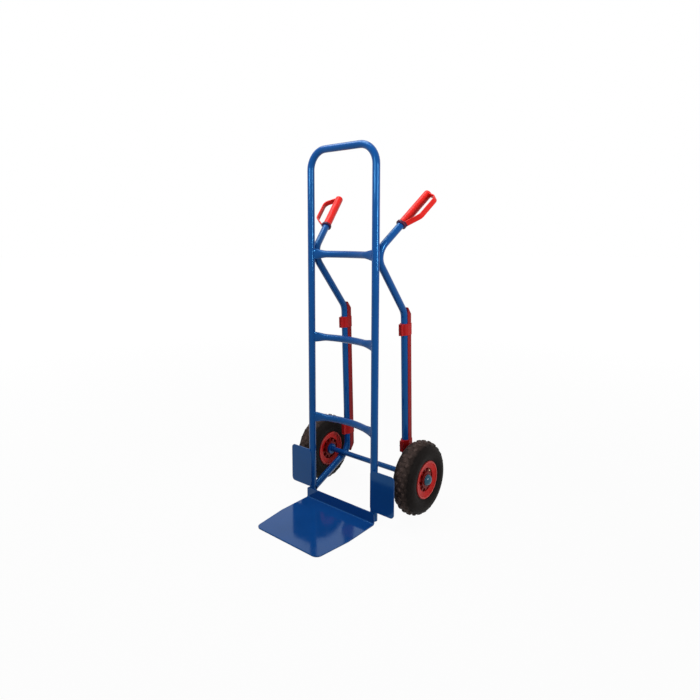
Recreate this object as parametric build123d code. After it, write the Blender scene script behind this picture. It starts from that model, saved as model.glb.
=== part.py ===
from build123d import *
import os
from math import asin, cos, hypot, radians, sin, sqrt, tan

# Hand truck of bent steel tube, with a toe plate, pneumatic wheels, safety grips and stair skids.
# Millimetres. X runs across the truck, Y from front to back and Z up from the floor.
# The origin lies on the floor, midway between the two legs of the hoop.

# Clearances
WELD_GAP = 0.2  # between pieces that are welded together
SLIP = 0.3  # between a moulding and what it is pushed onto or clamped round
RUNNING = 0.05  # radial, between the rollers and what they roll on
END_PLAY = 0.5  # of a wheel along its axle

# Hoop
HOOP_HEIGHT = 1303.0
TUBE_D = 26.0
TUBE_WALL = 2.0
LEG_SPACING = 290.0  # between the legs' centre lines
HOOP_BEND_R = 68.0
LEG_FOOT_Z = 8.0

# Crossbars, bowed towards the back, with ends pressed flat
BAR_NAMES = ("lower", "middle", "upper")
BAR_D = 25.0
BAR_WALL = 1.5
BAR_FIRST_Z = 320.0
BAR_PITCH = 303.0
BAR_BOW = 31.0
BAR_FLAT_HEIGHT = 38.0
BAR_FLAT_DEPTH = 7.0
BAR_FLARE_LENGTH = 48.0

# Side tubes: bottom stay, rear upright, slanted arm and handle
SIDE_INSET = 5.0  # from the leg's centre line towards the middle of the truck
SIDE_BEND_R = 57.0
STAY_SLOPE = 23.5  # degrees from level
UPRIGHT_LEAN = 2.1  # degrees, forwards going up
ARM_BEND_Z = 718.0
ARM_SLANT = 39.7  # degrees from upright, forwards going up
HANDLE_RISE = 42.2  # degrees from level
HANDLE_SPLAY = 16.2  # degrees outwards, seen from above

# Toe plate
TOE_THICK = 4.0
TOE_REACH = 288.0  # front edge, from the legs' centre line
TOE_TAPER_START = 152.0  # from the legs' centre line
TOE_FRONT_INSET = 17.0  # of each front corner, from the legs' outer sides
TOE_FLANGE_HEIGHT = 42.0
TOE_BEND_R = 4.0
TOE_CORNER_R = 22.0
TOE_FLANGE_CORNER_R = 6.0
TOE_EDGE_CHAMFER = 1.5

# Wheel guards
GUARD_THICK = 3.0
GUARD_BOTTOM_Z = 48.0
GUARD_HEIGHT = 145.0
GUARD_REACH = 94.0  # outwards from the leg's centre line
GUARD_LAP = 5.0  # inwards past the leg's centre line
GUARD_CORNER_R = 14.0

# Axle
AXLE_D = 20.0
AXLE_Y = 158.0
AXLE_CHAMFER = 1.5
COLLAR_WALL = 10.0
COLLAR_WIDTH = 9.0
WASHER_WALL = 9.0
WASHER_THICK = 2.0
HUB_CAP_WALL = 10.0  # round the axle
HUB_CAP_RIM = 2.0
HUB_CAP_HEIGHT = 14.0
HUB_CAP_GRIP = 5.0  # length of axle inside the cap

# Wheels
WHEEL_D = 266.0
WHEEL_OFFSET = 82.0  # middle plane, outwards from the leg's centre line
TYRE_WIDTH = 82.0
TYRE_SIDE_T = 6.0
TYRE_TREAD_T = 7.0
LUG_HEIGHT = 4.0
LUG_LENGTH = 14.0
LUG_WIDTH = 11.0
LUG_SKEW = 25.0  # degrees
LUG_COUNT = 24  # round the tyre, in each row
LUG_ROW_PITCH = 13.0  # along the arc of the tread
LUG_ROWS = (-2, -1, 0, 1, 2)
SHOULDER_WIDTH = 64.0
SHOULDER_DROP = 12.0
BEAD_WIDTH = 9.0
INNER_TUBE_T = 2.0
INNER_TUBE_LIFT = 3.0  # above the rim's barrel

# Rims, each in two halves
RIM_BARREL_R = 50.0
RIM_WALL = 8.0
RIM_WEB = 6.0  # of the inner half
RIM_OUTER_WEB = 14.0
RIM_FLANGE_R = 68.0
RIM_WIDTH = 72.0  # over the flanges
RIM_SEAT_WIDTH = 57.0  # between the flanges, at the barrel
RIM_DISH_DEPTH = 6.5  # of the dish's inner edge below the lip
RIM_LIP_T = 3.5
RIM_LIP_HEIGHT = 6.5
RIM_LIP_STEP = 2.5  # from the lip down to the dish
RIM_LIP_SLOPE = 3.0  # height of the sloped edge outside the lip
RIM_LIP_R = 1.2
HUB_LENGTH = 66.0
HUB_WALL = 14.7  # round the bearing
RIB_COUNT = 10
RIB_T = 10.0
RIB_HUB_DEPTH = 4.0  # of a rib's outer end below the hub's face
RIB_RIM_DEPTH = 9.0  # of a rib's outer end below the flange
RIM_BOLT_COUNT = 5
RIM_BOLT_D = 6.0
BOLT_HEAD_ACROSS = 10.0
BOLT_HEAD_T = 4.0
BOLT_TAIL = 3.0

# Hub bearings
ROLLER_D = 5.0
ROLLER_COUNT = 8
ROLLER_LENGTH = 52.0
CAGE_LENGTH = 62.0
CAGE_T = 3.8
CAGE_PLAY = 0.2

# Valves
VALVE_D = 8.0
VALVE_BORE_D = 3.0
VALVE_ANGLE = 40.0  # degrees round the wheel, from the back towards the top
VALVE_TILT = 37.0  # degrees out of the wheel's plane
VALVE_SEAT = 13.0  # from the wheel's middle plane, where the stem crosses the barrel
VALVE_LENGTH = 17.0  # inwards from the barrel
VALVE_ROOT = 12.0  # outwards from the barrel
VALVE_CAP_D = 10.5
VALVE_CAP_LENGTH = 9.0
VALVE_CAP_DEPTH = 6.0
VALVE_POCKET_D = 14.0  # room in the rim round the cap
VALVE_POCKET_PLAY = 1.5  # at the pocket's ends

# Grips with knuckle guards
GRIP_START = 143.0  # from the corner where the arm's and the handle's centre lines meet
GRIP_LENGTH = 169.0
GRIP_WALL = 1.7
GRIP_END_T = 12.0
GRIP_END_R = 6.0
GRIP_COLLAR_STEP = 4.0
GRIP_COLLAR_LENGTH = 9.0
GRIP_COLLAR_EDGE_R = 2.0
KNUCKLE_OUT = 56.0  # strap's middle, from the grip's centre line
KNUCKLE_LOW = 50.0  # lower corner, along the grip
KNUCKLE_HIGH = 143.0  # upper corner, along the grip
KNUCKLE_TURN = 6.0  # degrees upwards from straight out
KNUCKLE_BEND_R = 22.0
STRAP_WIDTH = 20.0
STRAP_THICK = 4.6
STRAP_EDGE_R = 1.6

# Skid rails and their clips
RAIL_RISE = 19.0  # of the top end above the arm's bend
RAIL_END_TAPER = 30.0
RAIL_TIP_DEPTH = 3.0  # of the pointed ends, behind the tube's centre line
RAIL_BACK_T = 12.0  # behind the tube
RAIL_CHEEK_T = 1.7  # beside the tube
RAIL_EDGE_R = 5.0
CLIP_NAMES = ("lower", "upper")
CLIP_LOWER_RISE = 94.0  # from the rail's bottom end to the clip's middle
CLIP_UPPER_DROP = 80.0  # from the rail's top end to the clip's middle
CLIP_HEIGHT = 42.0
CLIP_WALL = 1.4  # round the rail
CLIP_LUG_WIDTH = 14.0  # over both lugs
CLIP_LUG_REACH = 15.0  # ahead of the tube
CLIP_LUG_R = 2.0
CLIP_SLIT = 2.0
CLIP_EDGE_R = 0.8
CLIP_SCREW_D = 5.0
CLIP_SCREW_REACH = 7.5  # ahead of the tube
CLIP_SCREW_BITE = 4.5  # into the far lug
CLIP_HEAD_D = 8.0
CLIP_HEAD_T = 4.0

# Sizes that follow from those above
TUBE_R = TUBE_D / 2
LEG_X = LEG_SPACING / 2
SIDE_X = LEG_X - SIDE_INSET
AXLE_R = AXLE_D / 2
WHEEL_R = WHEEL_D / 2
AXLE_Z = WHEEL_R
PLATE_BACK_Y = -(TUBE_R + WELD_GAP)
HUB_END = HUB_LENGTH / 2
WHEEL_X = LEG_X + WHEEL_OFFSET
CAP_START_X = WHEEL_X + HUB_END + END_PLAY + WASHER_THICK
AXLE_END_X = CAP_START_X + HUB_CAP_GRIP
COLLAR_D = AXLE_D + 2 * COLLAR_WALL
WASHER_D = AXLE_D + 2 * WASHER_WALL
HUB_CAP_D = AXLE_D + 2 * HUB_CAP_WALL
ROLLER_RING_R = AXLE_R + RUNNING + ROLLER_D / 2
HUB_BORE_R = ROLLER_RING_R + ROLLER_D / 2 + RUNNING
HUB_R = HUB_BORE_R + HUB_WALL
RIM_BOLT_R = (HUB_R + RIM_BARREL_R - RIM_WALL) / 2
CARCASS_R = WHEEL_R - LUG_HEIGHT
SIDE_R = (CARCASS_R - SHOULDER_DROP + RIM_FLANGE_R) / 2  # where the tyre is widest
GRIP_BORE_R = TUBE_R + SLIP
GRIP_R = GRIP_BORE_R + GRIP_WALL
GRIP_COLLAR_R = GRIP_R + GRIP_COLLAR_STEP
RAIL_DEPTH = TUBE_R + RAIL_BACK_T
RAIL_WIDTH = TUBE_D + 2 * (SLIP + RAIL_CHEEK_T)
CLIP_R = RAIL_WIDTH / 2 + SLIP + CLIP_WALL
CLIP_LUG_DEPTH = TUBE_R + CLIP_LUG_REACH
CLIP_SCREW_DEPTH = TUBE_R + CLIP_SCREW_REACH
CLIP_SCREW_END = CLIP_SLIT / 2 + CLIP_SCREW_BITE
STAY_STOP = TUBE_R / 3  # end of the stay, behind the leg's centre line


# Centre line of the right side tube. The bottom bend starts where the axle lies on the stay.
STAY_DOWN = Vector(0, -cos(radians(STAY_SLOPE)), -sin(radians(STAY_SLOPE)))
STAY_NORMAL = Vector(0, -sin(radians(STAY_SLOPE)), cos(radians(STAY_SLOPE)))
UPRIGHT_UP = Vector(0, -sin(radians(UPRIGHT_LEAN)), cos(radians(UPRIGHT_LEAN)))
UPRIGHT_BACK = Vector(0, cos(radians(UPRIGHT_LEAN)), sin(radians(UPRIGHT_LEAN)))
ARM_UP = Vector(0, -sin(radians(ARM_SLANT)), cos(radians(ARM_SLANT)))
HANDLE_UP = Vector(
    cos(radians(HANDLE_RISE)) * sin(radians(HANDLE_SPLAY)),
    cos(radians(HANDLE_RISE)) * cos(radians(HANDLE_SPLAY)),
    sin(radians(HANDLE_RISE)),
)
HANDLE_OUT = (Vector(1, 0, 0) - HANDLE_UP * HANDLE_UP.X).normalized()


def upright_at(z):
    """Point of the rear upright's centre line at a height."""
    return UPRIGHT_ORIGIN + UPRIGHT_UP * ((z - UPRIGHT_ORIGIN.Z) / UPRIGHT_UP.Z)


def handle_corner():
    """Corner of arm and handle that lays the bend against the back of the leg."""
    to_arm = ARM_UP * -1
    half_angle = radians(to_arm.get_angle(HANDLE_UP)) / 2
    to_centre = (to_arm + HANDLE_UP).normalized() * (SIDE_BEND_R / sin(half_angle))
    bend_normal = to_arm.cross(HANDLE_UP).normalized()
    bend_front = SIDE_BEND_R * sqrt(1 - bend_normal.Y**2)
    y = TUBE_D + WELD_GAP + bend_front - to_centre.Y
    return ARM_CORNER + ARM_UP * ((y - ARM_CORNER.Y) / ARM_UP.Y)


AXLE_AT_STAY = Vector(SIDE_X, AXLE_Y, AXLE_Z)
STAY_POINT = AXLE_AT_STAY - STAY_NORMAL * (AXLE_R + TUBE_R + WELD_GAP)
BEND_CENTRE = STAY_POINT + STAY_NORMAL * SIDE_BEND_R
UPRIGHT_ORIGIN = BEND_CENTRE + UPRIGHT_BACK * SIDE_BEND_R
BOTTOM_TURN = radians(STAY_DOWN.get_angle(UPRIGHT_UP * -1))
BOTTOM_CORNER = STAY_POINT - STAY_DOWN * (SIDE_BEND_R * tan(BOTTOM_TURN / 2))
ARM_CORNER = upright_at(ARM_BEND_Z)
HANDLE_CORNER = handle_corner()
GRIP_ORIGIN = HANDLE_CORNER + HANDLE_UP * GRIP_START
HANDLE_END = GRIP_ORIGIN + HANDLE_UP * (GRIP_LENGTH - GRIP_END_T - SLIP)
RAIL_TOP_Z = ARM_BEND_Z + RAIL_RISE
RAIL_BOTTOM_Z = BOTTOM_CORNER.Z
CLIP_Z = (RAIL_BOTTOM_Z + CLIP_LOWER_RISE, RAIL_TOP_Z - CLIP_UPPER_DROP)
STAY_END = STAY_POINT + STAY_DOWN * (STAY_POINT.Y / -STAY_DOWN.Y - STAY_STOP)


def across_path(path):
    """Plane square to a path, at its start."""
    return Plane(origin=path @ 0, z_dir=path % 0)


def tube_along(path, outer_d, wall):
    ring = Circle(outer_d / 2) - Circle(outer_d / 2 - wall)
    return sweep(across_path(path) * ring, path=path)


def rod_along(path, d):
    return sweep(across_path(path) * Circle(d / 2), path=path)


def both_legs(d):
    """Solid rods on the legs' centre lines, to cut what is welded against them."""
    leg = Pos(0, 0, HOOP_HEIGHT / 2) * Cylinder(d / 2, HOOP_HEIGHT)
    return Pos(LEG_X, 0, 0) * leg + Pos(-LEG_X, 0, 0) * leg


def main_hoop():
    top = HOOP_HEIGHT - TUBE_R
    path = FilletPolyline(
        (-LEG_X, 0, LEG_FOOT_Z),
        (-LEG_X, 0, top),
        (LEG_X, 0, top),
        (LEG_X, 0, LEG_FOOT_Z),
        radius=HOOP_BEND_R,
    )
    return tube_along(path, TUBE_D, TUBE_WALL)


def bar_shape(z, shrink):
    """Bowed bar with a round middle and flat ends, its surface drawn in by shrink."""
    half_span = LEG_X - TUBE_R
    bow_r = (half_span**2 + BAR_BOW**2) / (2 * BAR_BOW)
    bow_y = BAR_BOW - bow_r
    leg_turn = asin(LEG_X / bow_r)
    flat_turn = asin(half_span / bow_r)
    flare_turn = flat_turn - BAR_FLARE_LENGTH / bow_r

    def section(turn, height, depth):
        at = (bow_r * sin(turn), bow_y + bow_r * cos(turn), z)
        plane = Plane(origin=at, x_dir=(0, 0, 1), z_dir=(cos(turn), -sin(turn), 0))
        return plane * Ellipse(height / 2 - shrink, depth / 2 - shrink)

    middle_turn = (flat_turn + flare_turn) / 2
    middle_height = (BAR_D + BAR_FLAT_HEIGHT) / 2
    middle_depth = (BAR_D + BAR_FLAT_DEPTH) / 2
    bow = ThreePointArc(
        (-bow_r * sin(flare_turn), bow_y + bow_r * cos(flare_turn), z),
        (0, BAR_BOW, z),
        (bow_r * sin(flare_turn), bow_y + bow_r * cos(flare_turn), z),
    )
    bar = rod_along(bow, BAR_D - 2 * shrink)
    for side in (-1, 1):
        bar += loft(
            [
                section(side * flare_turn, BAR_D, BAR_D),
                section(side * middle_turn, middle_height, middle_depth),
                section(side * flat_turn, BAR_FLAT_HEIGHT, BAR_FLAT_DEPTH),
                section(side * leg_turn, BAR_FLAT_HEIGHT, BAR_FLAT_DEPTH),
            ]
        )
    return bar


def crossbar(z):
    return bar_shape(z, 0) - bar_shape(z, BAR_WALL) - both_legs(TUBE_D + 2 * WELD_GAP)


def side_path():
    return FilletPolyline(HANDLE_END, HANDLE_CORNER, ARM_CORNER, BOTTOM_CORNER, STAY_END, radius=SIDE_BEND_R)


def side_tube():
    return tube_along(side_path(), TUBE_D, TUBE_WALL) - both_legs(TUBE_D + 2 * WELD_GAP)


def toe_plate():
    half_back = LEG_X + TUBE_R
    half_front = half_back - TOE_FRONT_INSET
    front_y = -TOE_REACH
    flange_front_y = PLATE_BACK_Y - TOE_THICK
    profile = make_face(
        Polyline(
            (front_y, 0),
            (PLATE_BACK_Y, 0),
            (PLATE_BACK_Y, TOE_FLANGE_HEIGHT),
            (flange_front_y, TOE_FLANGE_HEIGHT),
            (flange_front_y, TOE_THICK),
            (front_y, TOE_THICK),
            close=True,
        )
    )
    outer_corner = profile.vertices().sort_by_distance((PLATE_BACK_Y, 0))[0]
    inner_corner = profile.vertices().sort_by_distance((flange_front_y, TOE_THICK))[0]
    profile = fillet(outer_corner, TOE_BEND_R + TOE_THICK)
    profile = fillet(profile.vertices().sort_by_distance(inner_corner.center())[0], TOE_BEND_R)
    front_edge = profile.vertices().sort_by_distance((front_y, TOE_THICK))[0]
    profile = chamfer(front_edge, TOE_EDGE_CHAMFER)
    plate = extrude(Plane.YZ * profile, half_back, both=True)
    outline = make_face(
        Polyline(
            (-half_back, PLATE_BACK_Y),
            (half_back, PLATE_BACK_Y),
            (half_back, -TOE_TAPER_START),
            (half_front, front_y),
            (-half_front, front_y),
            (-half_back, -TOE_TAPER_START),
            close=True,
        )
    )
    outline = fillet(outline.vertices().group_by(Axis.Y)[0], TOE_CORNER_R)
    plate = plate & extrude(outline, TOE_FLANGE_HEIGHT)
    flange_corners = plate.edges().filter_by(Axis.Y).group_by(Axis.Z)[-1]
    return fillet(flange_corners, TOE_FLANGE_CORNER_R)


def wheel_guard():
    width = GUARD_REACH + GUARD_LAP
    middle_x = LEG_X + (GUARD_REACH - GUARD_LAP) / 2
    middle_z = GUARD_BOTTOM_Z + GUARD_HEIGHT / 2
    outline = Rectangle(width, GUARD_HEIGHT)
    outline = fillet(outline.vertices(), GUARD_CORNER_R)
    plane = Plane(origin=(middle_x, PLATE_BACK_Y, middle_z), x_dir=(1, 0, 0), z_dir=(0, -1, 0))
    return extrude(plane * outline, GUARD_THICK)


def ring_on_axle(start_x, width, outer_d, inner_d):
    ring = Circle(outer_d / 2) - Circle(inner_d / 2)
    return extrude(Plane(origin=(start_x, AXLE_Y, AXLE_Z), z_dir=(1, 0, 0)) * ring, width)


def axle():
    shaft = Plane(origin=(0, AXLE_Y, AXLE_Z), z_dir=(1, 0, 0)) * Cylinder(AXLE_R, 2 * AXLE_END_X)
    ends = shaft.edges().filter_by(GeomType.CIRCLE)
    return chamfer(ends, AXLE_CHAMFER)


def axle_collar():
    end_x = WHEEL_X - HUB_END - END_PLAY
    return ring_on_axle(end_x - COLLAR_WIDTH, COLLAR_WIDTH, COLLAR_D, AXLE_D + 2 * WELD_GAP)


def axle_washer():
    return ring_on_axle(CAP_START_X - WASHER_THICK, WASHER_THICK, WASHER_D, AXLE_D + 2 * SLIP)


def hub_cap():
    """Domed cap pushed onto the axle's end, in the axle's own frame."""
    cap_r = HUB_CAP_D / 2
    bore_r = AXLE_R + WELD_GAP
    bore_end = HUB_CAP_GRIP + WELD_GAP
    outline = Polyline((bore_end, 0), (bore_end, bore_r), (0, bore_r), (0, cap_r), (HUB_CAP_RIM, cap_r))
    dome = TangentArc((HUB_CAP_HEIGHT, 0), (HUB_CAP_RIM, cap_r), tangent=(0, 1))
    foot = Line((HUB_CAP_HEIGHT, 0), (bore_end, 0))
    section = make_face([outline, dome, foot])
    return Pos(CAP_START_X, AXLE_Y, AXLE_Z) * revolve(section, Axis.X)


def turned_copies(shape, count, first_angle):
    """Copies of a shape round the wheel's axis, the first turned by first_angle."""
    return [Rot(first_angle + 360 * k / count, 0, 0) * shape for k in range(count)]


def cavity_points(inset):
    """Outline points of the space inside a tyre, drawn in by inset: crown, shoulder, side and bead."""
    half_shoulder = SHOULDER_WIDTH / 2 - TYRE_SIDE_T - inset
    shoulder_r = CARCASS_R - SHOULDER_DROP - TYRE_SIDE_T
    half_side = TYRE_WIDTH / 2 - TYRE_SIDE_T - inset
    half_bead = RIM_WIDTH / 2 - RIM_LIP_T - SLIP - BEAD_WIDTH - inset
    return (
        (0, CARCASS_R - TYRE_TREAD_T - inset),
        (half_shoulder, shoulder_r - inset),
        (half_side, SIDE_R),
        (half_bead, RIM_FLANGE_R),
    )


def both_halves(section):
    """Ring about the wheel's axis from one half of its section."""
    return revolve(section + mirror(section, about=Plane.YZ), Axis.X)


def tyre_carcass():
    """Hollow tyre casing between its two beads, in the wheel's own frame."""
    inner_crown, inner_shoulder, inner_side, inner_bead = cavity_points(0)
    seat_r = RIM_BARREL_R + SLIP
    heel_x = RIM_SEAT_WIDTH / 2 - SLIP
    crown = (0, CARCASS_R)
    shoulder = (SHOULDER_WIDTH / 2, CARCASS_R - SHOULDER_DROP)
    side = (TYRE_WIDTH / 2, SIDE_R)
    bead = (RIM_WIDTH / 2 - RIM_LIP_T - SLIP, RIM_FLANGE_R)
    section = make_face(
        [
            TangentArc(crown, shoulder, tangent=(1, 0)),
            ThreePointArc(shoulder, side, bead),
            Polyline(bead, (heel_x, seat_r), (heel_x - BEAD_WIDTH, seat_r), inner_bead),
            ThreePointArc(inner_bead, inner_side, inner_shoulder),
            TangentArc(inner_crown, inner_shoulder, tangent=(1, 0)),
            Line(inner_crown, crown),
        ]
    )
    return both_halves(section)


def tread_lug(row):
    """One block of the tread, standing on the arc of the crown."""
    half_width = SHOULDER_WIDTH / 2
    crown_r = (half_width**2 + SHOULDER_DROP**2) / (2 * SHOULDER_DROP)
    tilt = row * LUG_ROW_PITCH / crown_r
    top_corner_r = hypot(LUG_LENGTH, LUG_WIDTH) / 2
    wheel_top = sqrt(WHEEL_R**2 - top_corner_r**2)
    top_r = crown_r + wheel_top - CARCASS_R
    top = Plane(
        origin=(top_r * sin(tilt), 0, CARCASS_R - crown_r + top_r * cos(tilt)),
        x_dir=(0, 1, 0),
        z_dir=(sin(tilt), 0, cos(tilt)),
    )
    block = Rot(0, 0, LUG_SKEW * (-1) ** row) * Rectangle(LUG_LENGTH, LUG_WIDTH)
    return extrude(top * block, -LUG_HEIGHT - TYRE_TREAD_T / 2)


def tyre():
    lugs = []
    for row in LUG_ROWS:
        lugs += turned_copies(tread_lug(row), LUG_COUNT, row % 2 * 180 / LUG_COUNT)
    return tyre_carcass().fuse(*lugs)


def valve_axis():
    """Plane at the barrel with its normal along the valve stem, towards the hub."""
    out = Vector(0, cos(radians(VALVE_ANGLE)), sin(radians(VALVE_ANGLE)))
    stem = Vector(sin(radians(VALVE_TILT)), 0, 0) - out * cos(radians(VALVE_TILT))
    return Plane(origin=out * RIM_BARREL_R + Vector(VALVE_SEAT, 0, 0), z_dir=stem)


def valve_rod(start, end, d):
    return extrude(valve_axis().offset(start) * Circle(d / 2), end - start)


def cavity_fill(inset):
    """Ring that fills the space inside a tyre, drawn in by inset."""
    crown, shoulder, side, bead = cavity_points(inset)
    floor = (0, RIM_BARREL_R + INNER_TUBE_LIFT + inset)
    section = make_face(
        [
            TangentArc(crown, shoulder, tangent=(1, 0)),
            ThreePointArc(shoulder, side, bead),
            TangentArc(floor, bead, tangent=(1, 0)),
            Line(floor, crown),
        ]
    )
    return both_halves(section)


def inner_tube():
    """Air tube with its valve stem, in the wheel's own frame."""
    stem = valve_rod(-VALVE_ROOT, VALVE_LENGTH, VALVE_D)
    tube = cavity_fill(SLIP) + stem - cavity_fill(SLIP + INNER_TUBE_T)
    return tube - valve_rod(-2 * VALVE_ROOT, VALVE_LENGTH, VALVE_BORE_D)


def valve_cap():
    mouth = VALVE_LENGTH - VALVE_CAP_DEPTH
    cap = valve_rod(mouth, mouth + VALVE_CAP_LENGTH, VALVE_CAP_D)
    return cap - valve_rod(mouth, VALVE_LENGTH + SLIP, VALVE_D + 2 * SLIP)


def rim_half(web):
    """Outer half of a rim with its ribs and bolt holes, in the wheel's own frame."""
    lip_x = RIM_WIDTH / 2
    seat_x = RIM_SEAT_WIDTH / 2
    edge_x = lip_x - RIM_LIP_T
    barrel_in = RIM_BARREL_R - RIM_WALL
    lip_in_r = RIM_FLANGE_R - RIM_LIP_HEIGHT
    section = make_face(
        Polyline(
            (0, HUB_BORE_R),
            (HUB_END, HUB_BORE_R),
            (HUB_END, HUB_R),
            (web, HUB_R),
            (web, barrel_in),
            (lip_x - RIM_DISH_DEPTH, barrel_in),
            (lip_x - RIM_LIP_STEP, lip_in_r),
            (lip_x, lip_in_r),
            (lip_x, RIM_FLANGE_R - RIM_LIP_SLOPE),
            ((lip_x + edge_x) / 2, RIM_FLANGE_R),
            (edge_x, RIM_FLANGE_R),
            (seat_x, RIM_BARREL_R),
            (0, RIM_BARREL_R),
            close=True,
        )
    )
    lip_corners = section.vertices().group_by(Axis.X)[-1]
    half = revolve(fillet(lip_corners, RIM_LIP_R), Axis.X)
    overlap = RIM_WALL / 2
    rib_side = make_face(
        Polyline(
            (overlap, HUB_R - overlap),
            (HUB_END - RIB_HUB_DEPTH, HUB_R - overlap),
            (lip_x - RIB_RIM_DEPTH, barrel_in + overlap),
            (overlap, barrel_in + overlap),
            close=True,
        )
    )
    rib = extrude(rib_side, RIB_T / 2, both=True)
    half += turned_copies(rib, RIB_COUNT, VALVE_ANGLE + 180 / RIB_COUNT)
    hole = Plane(origin=(0, RIM_BOLT_R, 0), z_dir=(1, 0, 0)) * Circle(RIM_BOLT_D / 2 + SLIP)
    hole = extrude(hole, RIM_WIDTH)
    return half - turned_copies(hole, RIM_BOLT_COUNT, VALVE_ANGLE + 180 / RIM_BOLT_COUNT)


def rim_outer():
    """Outer half, with the valve's hole and a pocket round the valve's cap."""
    pocket_start = VALVE_LENGTH - VALVE_CAP_DEPTH - VALVE_POCKET_PLAY
    hole = valve_rod(-RIM_WALL, pocket_start, VALVE_D + 2 * SLIP)
    pocket = valve_rod(pocket_start, VALVE_LENGTH + VALVE_POCKET_PLAY, VALVE_POCKET_D)
    return rim_half(RIM_OUTER_WEB) - hole - pocket


def rim_inner():
    return mirror(rim_half(RIM_WEB), about=Plane.YZ)


def hexagon_rod(start_x, length, across, radius):
    plane = Plane(origin=(start_x, radius, 0), z_dir=(1, 0, 0))
    return extrude(plane * RegularPolygon(across / 2, 6, major_radius=False), length)


def rim_bolts():
    """Hexagon bolts through both webs of a rim, in the wheel's own frame."""
    head = hexagon_rod(RIM_OUTER_WEB, BOLT_HEAD_T, BOLT_HEAD_ACROSS, RIM_BOLT_R)
    tail = RIM_WEB + BOLT_HEAD_T + BOLT_TAIL
    shank = Plane(origin=(RIM_OUTER_WEB, RIM_BOLT_R, 0), z_dir=(-1, 0, 0)) * Circle(RIM_BOLT_D / 2)
    bolt = head + extrude(shank, RIM_OUTER_WEB + tail)
    return turned_copies(bolt, RIM_BOLT_COUNT, VALVE_ANGLE + 180 / RIM_BOLT_COUNT)


def rim_nuts():
    body = hexagon_rod(-RIM_WEB - BOLT_HEAD_T, BOLT_HEAD_T, BOLT_HEAD_ACROSS, RIM_BOLT_R)
    hole = Plane(origin=(0, RIM_BOLT_R, 0), z_dir=(-1, 0, 0)) * Circle(RIM_BOLT_D / 2 + RUNNING)
    nut = body - extrude(hole, RIM_WIDTH)
    return turned_copies(nut, RIM_BOLT_COUNT, VALVE_ANGLE + 180 / RIM_BOLT_COUNT)


def bearing_rollers():
    roller = Plane(origin=(0, ROLLER_RING_R, 0), z_dir=(1, 0, 0)) * Cylinder(ROLLER_D / 2, ROLLER_LENGTH)
    return turned_copies(roller, ROLLER_COUNT, 0)


def bearing_cage():
    ring = Circle(ROLLER_RING_R + CAGE_T / 2) - Circle(ROLLER_RING_R - CAGE_T / 2)
    cage = extrude(Plane.YZ * ring, CAGE_LENGTH / 2, both=True)
    pocket = Pos(0, ROLLER_RING_R, 0) * Box(
        ROLLER_LENGTH + 2 * CAGE_PLAY, 2 * CAGE_T, ROLLER_D + 2 * CAGE_PLAY
    )
    return cage - turned_copies(pocket, ROLLER_COUNT, 0)


def grip_sleeve():
    """Smooth sleeve with its collar, on the handle's axis."""
    section = make_face(
        Polyline(
            (0, 0),
            (GRIP_COLLAR_R, 0),
            (GRIP_COLLAR_R, GRIP_COLLAR_LENGTH),
            (GRIP_R, GRIP_COLLAR_LENGTH),
            (GRIP_R, GRIP_LENGTH),
            (0, GRIP_LENGTH),
            close=True,
        )
    )
    end_corner = section.vertices().sort_by_distance((GRIP_R, GRIP_LENGTH))[0]
    section = fillet(end_corner, GRIP_END_R)
    collar_corners = section.vertices().group_by(Axis.X)[-1]
    section = fillet(collar_corners, GRIP_COLLAR_EDGE_R)
    return revolve(Plane.XZ * section, Axis.Z)


def grip():
    """Right grip: a closed sleeve and a strap that guards the knuckles on the outer side."""
    strap_path = FilletPolyline(
        (GRIP_R, 0, GRIP_COLLAR_LENGTH / 2),
        (KNUCKLE_OUT, 0, KNUCKLE_LOW),
        (KNUCKLE_OUT, 0, KNUCKLE_HIGH),
        (0, 0, GRIP_LENGTH - GRIP_END_T / 2),
        radius=KNUCKLE_BEND_R,
    )
    across = Plane(origin=strap_path @ 0, x_dir=(0, 1, 0), z_dir=strap_path % 0)
    strap = sweep(across * RectangleRounded(STRAP_WIDTH, STRAP_THICK, STRAP_EDGE_R), path=strap_path)
    bore = extrude(Circle(GRIP_BORE_R), GRIP_LENGTH - GRIP_END_T)
    shape = grip_sleeve() + strap - bore
    return Plane(origin=GRIP_ORIGIN, x_dir=HANDLE_OUT, z_dir=HANDLE_UP) * Rot(0, 0, -KNUCKLE_TURN) * shape


def rail_plane(z):
    """Plane square to the rear upright at a height, with its own Y axis pointing back."""
    return Plane(origin=upright_at(z), x_dir=(1, 0, 0), z_dir=UPRIGHT_UP)


def rail_section(clearance):
    """Outline of a rail's cross-section, from the tube's centre line back."""
    depth = RAIL_DEPTH + clearance
    outline = Pos(0, depth / 2) * Rectangle(RAIL_WIDTH + 2 * clearance, depth)
    return fillet(outline.vertices().group_by(Axis.Y)[-1], RAIL_EDGE_R + clearance)


def skid_rail():
    length = (RAIL_TOP_Z - RAIL_BOTTOM_Z) / UPRIGHT_UP.Z
    rail = extrude(rail_section(0), length)
    side = make_face(
        Polyline(
            (0, 0),
            (RAIL_TIP_DEPTH, 0),
            (RAIL_DEPTH, RAIL_END_TAPER),
            (RAIL_DEPTH, length - RAIL_END_TAPER),
            (RAIL_TIP_DEPTH, length),
            (0, length),
            close=True,
        )
    )
    rail = rail & extrude(Plane.YZ * side, RAIL_WIDTH, both=True)
    return rail_plane(RAIL_BOTTOM_Z) * rail - rod_along(side_path(), TUBE_D + 2 * SLIP)


def clip_cross_rod(d, start, end):
    """Rod across the front of a clip, along X."""
    plane = Plane(origin=(start, -CLIP_SCREW_DEPTH, CLIP_HEIGHT / 2), z_dir=(1, 0, 0))
    return extrude(plane * Circle(d / 2), end - start)


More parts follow.
